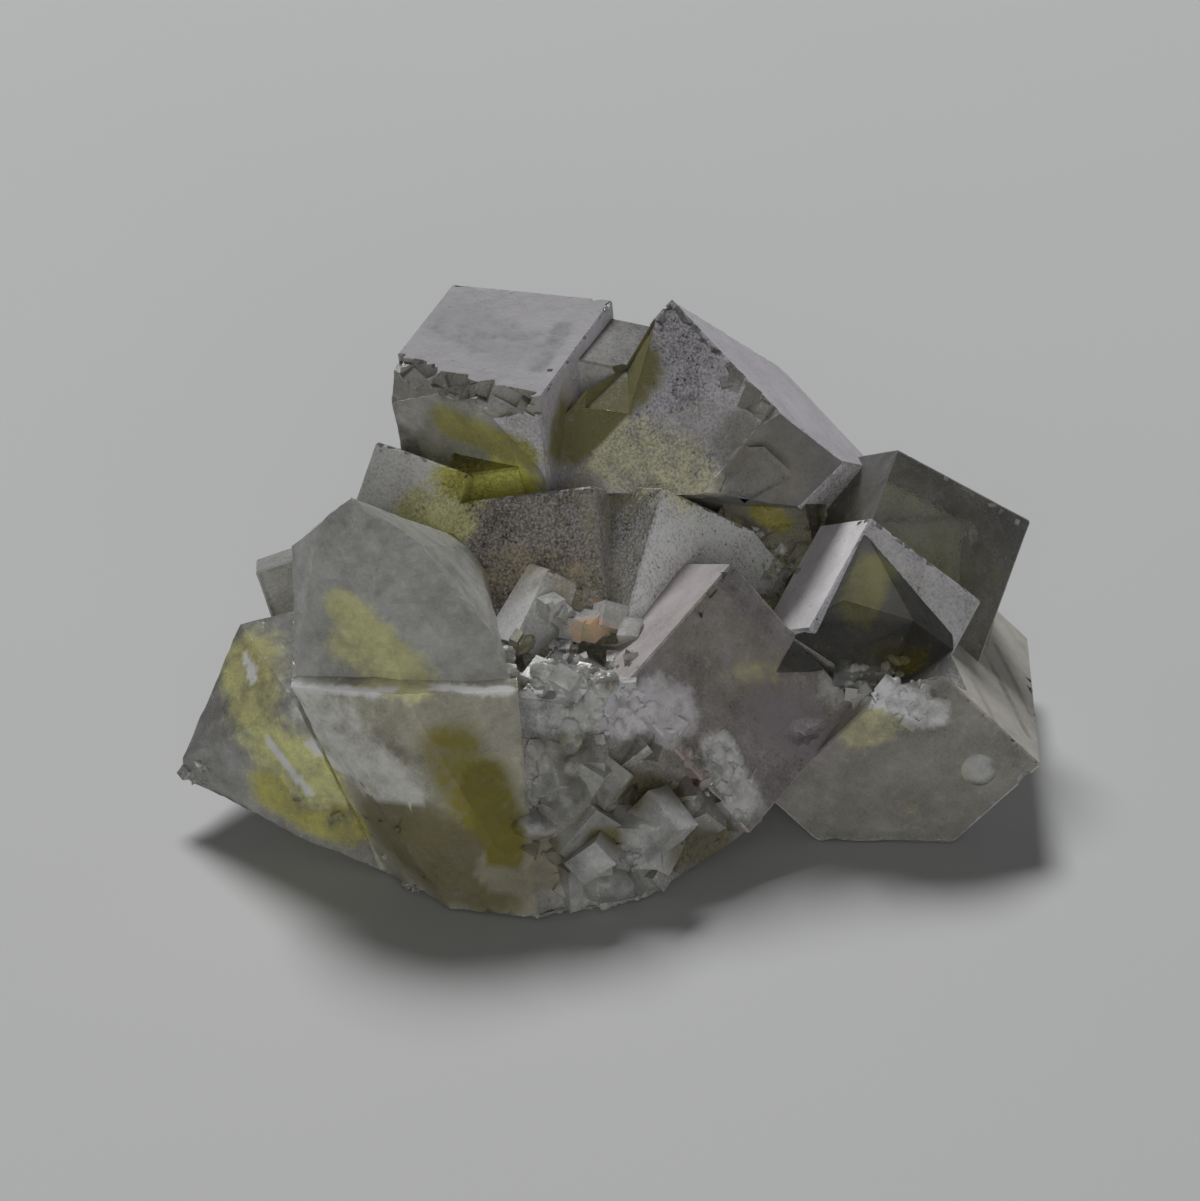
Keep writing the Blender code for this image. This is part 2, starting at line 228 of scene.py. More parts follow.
# Crumbs of broken crystal that sparkle, pressed onto the stone from the side that `facing` points to, and
# within `spread` of the centre. `rounded` is the share of them that are beads.
Crust = namedtuple("Crust", "name centre spread facing count size rounded")
CRUSTS = (
    Crust("ledge", (-1, -9.6, 12), 3.2, (0, -0.5, 1), 44, 0.75, 0.5),
    Crust("ledge hollow", (-3.4, -6, 12.4), 2.8, (0, -0.5, 1), 30, 0.7, 0.3),
    Crust("ledge beads", (-1.4, -12.2, 12.4), 1.6, (0, -0.8, 0.6), 30, 1.1, 1),
    Crust("front lower edge", (3.2, -11, 9.4), 0.8, (0.3, -0.9, 0.4), 11, 0.8, 0.7),
    Crust("front lower corner", (5, -11.2, 7.8), 0.8, (0.3, -0.9, 0.4), 11, 0.8, 0.7),
    Crust("front ridge", (6.6, -10.8, 7.4), 1.5, (0.3, -0.9, 0.4), 44, 0.95, 0.9),
    Crust("front ridge top", (1.6, -10.7, 10.8), 0.7, (0.3, -0.9, 0.4), 8, 0.8, 0.7),
    Crust("right ledge hollow", (14.6, -5.6, 9.3), 1.2, (0.1, -0.87, 0.5), 26, 0.75, 0.6),
    Crust("right ledge", (17, -7.5, 9.4), 1.9, (0, -1, 0.45), 70, 0.75, 0.6),
    Crust("foot blocks", (-0.6, -14.4, 4.2), 4.2, (0.1, -1, 0.5), 30, 2.6, 0.5),
    Crust("foot upper blocks", (-2.6, -13.8, 8.6), 2.4, (0.1, -1, 0.5), 14, 2.4, 0.6),
    Crust("foot right blocks", (4.2, -12.4, 4), 2.8, (0.4, -1, 0.2), 16, 1.9, 0.6),
    Crust("foot front", (-0.6, -14.2, 4.6), 4.8, (0.1, -1, 0.3), 46, 0.8, 0.8),
    Crust("beside the ledge", (-4.6, -10.8, 13.6), 1.8, (0.3, -0.8, 0.5), 30, 1.2, 0.8),
    Crust("foot right", (5, -12, 4), 3, (0.4, -1, 0.2), 34, 0.7, 0.6),
    Crust("left tip", (-25, -6.4, 3.6), 1, (-0.4, -0.9, 0.2), 16, 0.4, 0.5),
    Crust("left foot", (-14, -13, 1.6), 3.6, (-0.4, -0.9, 0.1), 18, 0.6, 0.3),
    Crust("recess", (10.1, 4, 12), 1.1, (0, -0.87, 0.5), 22, 0.6, 0.6),
    Crust("back ledge", (2, 16, 8), 7, (0, 1, 0.4), 50, 0.9, 0.3),
    Crust("left back ledge", (-18, 8, 6), 5, (-0.8, 0.5, 0.5), 30, 0.8, 0.3),
)


def cleave(bm, point, facing):
    """Cut the closed mesh with a plane, drop what lies on the side it faces, and close the cut."""
    geometry = bm.verts[:] + bm.edges[:] + bm.faces[:]
    cut = bmesh.ops.bisect_plane(
        bm, geom=geometry, plane_co=Vector(point), plane_no=Vector(facing).normalized(), clear_outer=True
    )
    rim = [item for item in cut["geom_cut"] if isinstance(item, bmesh.types.BMEdge)]
    bmesh.ops.contextual_create(bm, geom=rim)


def turn_of(crystal):
    return Euler([math.radians(angle) for angle in crystal.turn]).to_matrix()


# What a face is: one of a crystal's three pairs of grown sides, its rubbed edge, or a break.
SIDE_X, SIDE_Y, SIDE_Z, RUBBED, BROKEN = range(5)
KINDS = 8  # a face's tag is the number of its shape times this, plus one of the above
SQUARE_ON = 0.9995  # cosine of the angle within which a face still counts as a grown side


def side_of(normal, axes):
    """Which pair of the crystal's sides the normal belongs to, or None for a bevel or a break."""
    local = axes.transposed() @ normal
    for axis in range(3):
        if abs(local[axis]) > SQUARE_ON:
            return axis
    return None


def crystal_bmesh(crystal):
    """The crystal's box, cleaved and with its grown edges worn; the layer "kind" says what each face is."""
    bm = bmesh.new()
    size = Vector([abs(length) for length in crystal.span])
    bmesh.ops.create_cube(bm, size=1.0, matrix=Matrix.Diagonal(size).to_4x4())
    axes = turn_of(crystal)
    centre = Vector(crystal.corner) + axes @ (Vector(crystal.span) / 2)
    bm.transform(Matrix.Translation(centre) @ axes.to_4x4())
    for cut in CLEAVAGES:
        if cut.crystal == crystal.name:
            cleave(bm, cut.point, cut.facing)
    bm.normal_update()
    kind = bm.faces.layers.int.new("kind")
    for face in bm.faces:
        side = side_of(face.normal, axes)
        face[kind] = BROKEN if side is None else side
    grown = [edge for edge in bm.edges if all(face[kind] != BROKEN for face in edge.link_faces)]
    bevelled = bmesh.ops.bevel(bm, geom=grown, offset=WORN_EDGE, segments=1, affect="EDGES")
    bm.normal_update()
    for face in bevelled["faces"]:
        if side_of(face.normal, axes) is None:
            face[kind] = RUBBED
    return bm


def block_bmesh(block):
    bm = bmesh.new()
    for corner in block.corners:
        bm.verts.new(corner)
    hull = bmesh.ops.convex_hull(bm, input=bm.verts[:])
    inside = [item for item in hull["geom_interior"] if isinstance(item, bmesh.types.BMVert)]
    bmesh.ops.delete(bm, geom=inside, context="VERTS")
    return bm


def lump_bmesh(lump):
    bm = bmesh.new()
    bmesh.ops.create_icosphere(bm, subdivisions=3, radius=1.0)
    for vert in bm.verts:
        place = Vector([axis * radius for axis, radius in zip(vert.co, lump.radii)])
        push = lump.roughness * noise.noise((place + Vector(lump.centre)) * LUMP_GRAIN)
        vert.co = Vector(lump.centre) + place + vert.normal * push
    return bm


def cube_bmesh(place, sizes, turn):
    bm = bmesh.new()
    stretch = Matrix.Diagonal(Vector(sizes)).to_4x4()
    bmesh.ops.create_cube(bm, size=1.0, matrix=Matrix.Translation(place) @ turn.to_4x4() @ stretch)
    return bm


BEAD_RADIUS = 0.55


def bead_bmesh(place, sizes, turn):
    bm = bmesh.new()
    stretch = Matrix.Diagonal(Vector(sizes)).to_4x4()
    bmesh.ops.create_icosphere(
        bm, subdivisions=2, radius=BEAD_RADIUS, matrix=Matrix.Translation(place) @ turn.to_4x4() @ stretch
    )
    return bm


def trail_bmeshes(trail):
    """Cubes of uneven size, turned at random and scattered about the trail's line."""
    rng = random.Random(trail.name)
    for step in range(trail.count):
        along = (step + 0.5) / trail.count
        size = trail.size * rng.uniform(0.7, 1.2)
        place = Vector(trail.start).lerp(Vector(trail.end), along)
        place += Vector([rng.uniform(-0.4, 0.4) * trail.size for _ in range(3)])
        turn = Euler([rng.uniform(0, math.pi / 2) for _ in range(3)]).to_matrix()
        yield cube_bmesh(place, (size, size, size), turn)


def nick_bmeshes(nicks, number):
    """Boxes that lean a little from the crystal's axes, centred near the edge."""
    rng = random.Random(f"nick {number}")
    axes = turn_of(CRYSTAL_NAMED[nicks.crystal])
    for step in range(nicks.count):
        along = (step + rng.uniform(0, 1)) / nicks.count
        place = Vector(nicks.start).lerp(Vector(nicks.end), along)
        place += axes @ Vector([rng.uniform(-0.25, 0.25) * size for size in nicks.sizes])
        sizes = [size * rng.uniform(0.5, 1.6) for size in nicks.sizes]
        lean = Euler([rng.uniform(-0.5, 0.5) for _ in range(3)]).to_matrix()
        yield cube_bmesh(place, sizes, axes @ lean)


CRUMB_DROP = 6.0  # how far above and below a crust's centre the stone's surface is looked for
CRUMB_SUNK = 0.25  # how far a crumb's centre lies under the surface, in its own sizes


def crust_bmeshes(crust, surface):
    """The name and mesh of each crumb, at random places where lines along `facing` meet the stone."""
    rng = random.Random(crust.name)
    facing = Vector(crust.facing).normalized()
    across = facing.orthogonal().normalized()
    other = facing.cross(across)
    for _ in range(crust.count):
        angle = rng.uniform(0, math.tau)
        reach = crust.spread * rng.uniform(0, 1) ** 0.6
        start = Vector(crust.centre) + reach * (math.cos(angle) * across + math.sin(angle) * other)
        hit, normal, _, _ = surface.ray_cast(start + CRUMB_DROP * facing, -facing, 2 * CRUMB_DROP)
        turn = Euler([rng.uniform(0, math.pi / 2) for _ in range(3)]).to_matrix()
        size = crust.size * rng.uniform(0.3, 1.3) ** 1.3
        sizes = [size * rng.uniform(0.6, 1.3) for _ in range(3)]
        name, shape = ("bead", bead_bmesh) if rng.uniform(0, 1) < crust.rounded else ("crust", cube_bmesh)
        if hit is not None:
            yield name, shape(hit - CRUMB_SUNK * size * normal, sizes, turn)


# ------------------------------------------------------------------------------------------------
# Joining the shapes into one skin
# ------------------------------------------------------------------------------------------------


def new_collection(name):
    collection = bpy.data.collections.new(name)
    bpy.context.scene.collection.children.link(collection)
    return collection


def add_tagged(name, bm, tag, collection):
    """Turn the shape into an object in the collection, with every face tagged as the shape's own."""
    kind = bm.faces.layers.int.get("kind")
    stamp = bm.faces.layers.int.new("tag")
    for face in bm.faces:
        face[stamp] = tag * KINDS + (face[kind] if kind else BROKEN)
    bmesh.ops.recalc_face_normals(bm, faces=bm.faces[:])
    mesh = bpy.data.meshes.new(name)
    bm.to_mesh(mesh)
    bm.free()
    thing = bpy.data.objects.new(name, mesh)
    collection.objects.link(thing)
    return thing


def combine(target, others, operation):
    """Join a whole collection to the target, or cut it out, and empty the collection."""
    step = target.modifiers.new(operation.title(), "BOOLEAN")
    step.operation = operation
    step.solver = "EXACT"
    step.operand_type = "COLLECTION"
    step.collection = others
    joined = bpy.data.meshes.new_from_object(target.evaluated_get(bpy.context.evaluated_depsgraph_get()))
    target.modifiers.clear()
    target.data = joined
    for thing in list(others.objects):
        bpy.data.objects.remove(thing, do_unlink=True)


def outer_skin(bm):
    """Keep the largest connected skin, without loose crumbs and shut-in gaps."""
    seen = set()
    skins = []
    for first in bm.faces:
        if first in seen:
            continue
        seen.add(first)
        skin = [first]
        for face in skin:
            for edge in face.edges:
                beside = [other for other in edge.link_faces if other not in seen]
                seen.update(beside)
                skin.extend(beside)
        skins.append(skin)
    skins.sort(key=lambda skin: sum(face.calc_area() for face in skin))
    for skin in skins[:-1]:
        bmesh.ops.delete(bm, geom=skin, context="FACES")


SHAPE_NAMES = []  # a shape's tag is its place here
CRUMBS = ("crust", "bead")  # the shapes of crumbs that crust_bmeshes makes


def new_tag(name):
    SHAPE_NAMES.append(name)
    return len(SHAPE_NAMES) - 1


def cut_out_chips(stone, spare):
    for hollow in HOLLOWS:
        add_tagged(hollow.name, block_bmesh(hollow), new_tag("hollow " + hollow.name), spare)
    chip_tag = new_tag("chip")
    for chip in CHIPS:
        add_tagged(chip.name, lump_bmesh(chip), chip_tag, spare)
    nick_tag = new_tag("nick")
    for number, nicks in enumerate(NICKS):
        for bm in nick_bmeshes(nicks, number):
            add_tagged("nick", bm, nick_tag, spare)
    combine(stone, spare, "DIFFERENCE")


def press_on_crumbs(stone, spare):
    bm = bmesh.new()
    bm.from_mesh(stone.data)
    surface = BVHTree.FromBMesh(bm)
    bm.free()
    crumb_tags = {name: new_tag(name) for name in CRUMBS}
    for crust in CRUSTS:
        for name, crumb in crust_bmeshes(crust, surface):
            add_tagged(name, crumb, crumb_tags[name], spare)
    combine(stone, spare, "UNION")


GROUND = 100  # side of the block under the floor's level that cuts the underside off flat


def joined_stone():
    """Every shape joined, then chipped, crusted and cut off at the floor."""
    workshop = new_collection("Workshop")
    spare = new_collection("Spare")
    shapes = [(lump.name, lump_bmesh(lump)) for lump in LUMPS]
    shapes += [(block.name, block_bmesh(block)) for block in BLOCKS]
    shapes += [(crystal.name, crystal_bmesh(crystal)) for crystal in CRYSTALS]
    shapes += [(trail.name, bm) for trail in TRAILS for bm in trail_bmeshes(trail)]
    name, bm = shapes[0]
    stone = add_tagged(name, bm, new_tag(name), workshop)
    for name, bm in shapes[1:]:
        add_tagged(name, bm, new_tag(name), spare)
    combine(stone, spare, "UNION")
    cut_out_chips(stone, spare)
    press_on_crumbs(stone, spare)
    ground = cube_bmesh(Vector((0, 0, -GROUND / 2)), (GROUND, GROUND, GROUND), Matrix.Identity(3))
    add_tagged("ground", ground, new_tag("ground"), spare)
    combine(stone, spare, "DIFFERENCE")
    return stone


# ------------------------------------------------------------------------------------------------
# Relief: a fine mesh, moved inwards only
# ------------------------------------------------------------------------------------------------

FINEST = 0.62  # longest mesh edge
HALVINGS = 6  # how often the long edges are halved
EVENED = 3  # after how many of these the triangles are evened out
FLAT = 0.002  # radians between two triangles of one flat face
SHARP = 28  # degrees between two faces that are shaded apart

RUBBLE = {trail.name for trail in TRAILS} | set(CRUMBS) | {"chip", "nick"}
ROUGH = {lump.name for lump in LUMPS} | {"ground"}

# How deep each kind of surface is pitted.
ROUGH_RELIEF = 0.7
BROKEN_RELIEF = 0.3
HOLLOW_RELIEF = 0.12
GROWN_RELIEF = 0.04
RUBBED_RELIEF = 0.03
RUBBLE_RELIEF = 0.02
HACKLY = 0.1  # pitted deeper than this, a surface breaks into treads and risers

# The relief's noise has this many cells in a millimetre.
SWELL_GRAIN = 0.45
GRIT_GRAIN = 1.7
SOFT_GRAIN = 0.8
GRIT_OFFSET = Vector((9, 4, 7))
SWELL_SHARE = 0.75  # of a hackly surface's depth; the rest is grit
TREADS = 5
RISER = 0.25  # share of each tread's width that its riser takes


def relief_of(tag):
    name, kind = SHAPE_NAMES[tag // KINDS], tag % KINDS
    if name in ROUGH:
        return ROUGH_RELIEF
    if name in RUBBLE:
        return RUBBLE_RELIEF
    if name.startswith("hollow"):
        return HOLLOW_RELIEF
    return {RUBBED: RUBBED_RELIEF, BROKEN: BROKEN_RELIEF}.get(kind, GROWN_RELIEF)


def refine(bm, longest):
    """Halve the long edges, and in the first passes even out the triangles on each flat face too."""
    stamp = bm.faces.layers.int["tag"]
    bmesh.ops.triangulate(bm, faces=bm.faces[:], quad_method="BEAUTY", ngon_method="BEAUTY")
    for halving in range(HALVINGS):
        long_edges = [edge for edge in bm.edges if edge.calc_length() > longest]
        bmesh.ops.subdivide_edges(bm, edges=long_edges, cuts=1)
        bmesh.ops.triangulate(bm, faces=[face for face in bm.faces if len(face.verts) > 3])
        if halving < EVENED:
            flat = [
                edge for edge in bm.edges
                if len(edge.link_faces) == 2 and edge.link_faces[0][stamp] == edge.link_faces[1][stamp]
                and edge.calc_face_angle(1.0) < FLAT
            ]
            bmesh.ops.beautify_fill(bm, faces=bm.faces[:], edges=flat)


def terraces(value):
    """Turn a slope into flat treads with short risers."""
    tread = math.floor(value * TREADS)
    rise = min(1.0, (value * TREADS - tread) / RISER)
    return (tread + rise) / TREADS


def unit_noise(place):
    return 0.5 + 0.5 * noise.noise(place)


def roughen(bm):
    """Push every point of the mesh inwards by as much as its faces are pitted."""
    stamp = bm.faces.layers.int["tag"]
    depth_of = {tag: relief_of(tag) for tag in {face[stamp] for face in bm.faces}}
    bm.normal_update()
    moves = []
    for vert in bm.verts:
        depth = sum(depth_of[face[stamp]] for face in vert.link_faces) / len(vert.link_faces)
        place = vert.co
        if depth > HACKLY:
            swell = terraces(unit_noise(place * SWELL_GRAIN))
            grit = unit_noise(place * GRIT_GRAIN + GRIT_OFFSET)
            push = SWELL_SHARE * swell + (1 - SWELL_SHARE) * grit
        else:
            push = unit_noise(place * SOFT_GRAIN)
        moves.append(vert.normal * (-depth * push))
    for vert, move in zip(bm.verts, moves):
        vert.co += move


# ------------------------------------------------------------------------------------------------
# Where the stone is dusty, clear or tinted, where it has stains, and where light and shade are painted on
# ------------------------------------------------------------------------------------------------

# Colours of dust, of clear stone and of stains; some of them also serve as painted light and shade.
LILAC = (0.57, 0.55, 0.59)
PALE = (0.72, 0.7, 0.73)
GREY = (0.5, 0.495, 0.48)
MIST = (0.66, 0.66, 0.63)
BEIGE = (0.5, 0.48, 0.43)
PURPLE = (0.4, 0.37, 0.367)
BRIGHT = (0.95, 0.95, 0.95)
CLEAR = (0.8, 0.8, 0.78)
SMOKE = (0.5, 0.5, 0.48)
OLIVE = (0.55, 0.52, 0.33)
BROWN = (0.36, 0.33, 0.24)
UMBER = (0.15, 0.135, 0.07)
PEAT = (0.19, 0.17, 0.11)
SHADOW = (0.36, 0.355, 0.345)
YELLOW_GLASS = (0.8, 0.78, 0.2)
HONEY_GLASS = (0.6, 0.5, 0.08)
AMBER_GLASS = (0.5, 0.4, 0.1)
STRAW = (0.64, 0.63, 0.33)
HAY = (0.56, 0.55, 0.36)
MOSS = (0.5, 0.47, 0.14)
AMBER = (0.28, 0.235, 0.04)
WHITE = (0.8, 0.8, 0.79)
DIM_AMBER = (0.22, 0.2, 0.1)
RUST = (0.7, 0.45, 0.28)


def even(value):
    """The same three times over."""
    return (value, value, value)


# How much dust lies on a crystal's x, y and z sides, how pale it is painted there (the crystal's own
# lightness with painted light and shade for each side), the colour of the dust, the tint of the clear
# stone, and how strongly the dust is speckled.
Finish = namedtuple("Finish", "dust shade colour glass grit")
FINISHES = {
    "back left": Finish((0.8, 0.7, 0.95), (0.9, 0.95, 0.87), LILAC, CLEAR, 0.45),
    "back left broken": Finish(even(0.55), even(0.85), GREY, CLEAR, 0.15),
    "peak": Finish((0.65, 0.62, 0.95), (1, 0.95, 1.1), LILAC, CLEAR, 0.85),
    # The peak's broken faces under its ridge: dark broken stone with painted shade.
    "peak broken": Finish(even(0.85), (0.32, 0.32, 0.3), GREY, BROWN, 0.5),
    "between peaks": Finish(even(0.7), even(0.75), GREY, CLEAR, 0.4),
    "right": Finish((0.6, 0.5, 0.55), (0.6, 0.62, 0.8), SHADOW, SMOKE, 0.1),
    "right front": Finish((0.95, 0.75, 0.7), (1.3, 0.85, 1), PALE, SMOKE, 0.6),
    "low right": Finish((0.75, 0.7, 0.85), (1.5, 0.5, 1.3), BEIGE, SMOKE, 0.25),
    "front": Finish((0.85, 0.65, 0.7), (1.6, 0.8, 1), PURPLE, SMOKE, 0.3),
    "centre": Finish((0.5, 0.8, 0.6), (0.5, 1.72, 1), PALE, SMOKE, 0.9),
    "centre left": Finish(even(0.5), (1.1, 1, 1), PURPLE, SMOKE, 0.9),
    "centre small": Finish((0.9, 0.8, 0.9), even(1.85), PALE, CLEAR, 0.4),
    "upper left": Finish((0.6, 0.8, 0.6), (1, 1.3, 1), GREY, CLEAR, 0.7),
    "upper left inner": Finish(even(0.3), (0.9, 1.3, 0.5), MOSS, YELLOW_GLASS, 0.6),
    "back low left": Finish((0.6, 0.6, 0.8), (1.1, 1.05, 0.9), LILAC, CLEAR, 0.5),
    "back low right": Finish((0.8, 0.6, 0.6), (0.9, 1, 1.1), GREY, SMOKE, 0.3),
    "back middle": Finish((0.6, 0.85, 0.6), (1, 1.2, 0.9), PURPLE, CLEAR, 0.6),
    "right back": Finish((0.5, 0.5, 0.7), (0.8, 0.8, 0.9), SHADOW, SMOKE, 0.15),
    "left edge": Finish((0.4, 0.45, 0.4), even(1), GREY, SMOKE, 0.2),
    "front left": Finish(even(0.75), even(0.77), MIST, CLEAR, 0.15),
    "front left below the ledge": Finish(
        even(0.65), even(0.8), (0.5, 0.48, 0.38), (0.7, 0.66, 0.4), 0.15
    ),
    "left wedge": Finish(even(0.6), even(0.72), GREY, CLEAR, 0.15),
    "front right foot": Finish(even(0.65), (0.7, 0.68, 0.64), GREY, CLEAR, 0.3),
    # The shard under the peak and the block behind it, in the undercut: dark stone with painted shade.
    "shard under peak": Finish(even(0.7), (0.5, 0.5, 0.48), GREY, BROWN, 0.5),
    "behind the shard": Finish(even(0.4), (0.32, 0.32, 0.3), GREY, BROWN, 0.3),
    "middle crust": Finish(even(0.6), even(1.05), WHITE, CLEAR, 0.2),
    "ledge crust": Finish(even(0.6), even(1.05), WHITE, CLEAR, 0.2),
    "crust": Finish(even(0.5), even(0.88), WHITE, BRIGHT, 0.1),
    "bead": Finish(even(0.4), even(1), WHITE, BRIGHT, 0.05),
    "chip": Finish(even(0.5), even(0.75), WHITE, CLEAR, 0.1),
    "nick": Finish(even(0.6), even(0.75), GREY, CLEAR, 0.3),
    # The hollow in the right front crystal: olive stone with painted shade.
    "hollow right front edge": Finish(even(0.75), (0.28, 0.27, 0.2), GREY, BROWN, 0.3),
    # The chip on the peak's left edge: olive stone with painted shade, its up-facing facet painted dark.
    "hollow peak left edge": Finish(even(0.95), even(0.3), (0.5, 0.47, 0.3), OLIVE, 0.3),
}
PLAIN = Finish(even(0.6), (0.88, 0.88, 0.86), GREY, CLEAR, 0.4)
FRESH = Finish(even(0.35), even(0.9), GREY, OLIVE, 0.2)

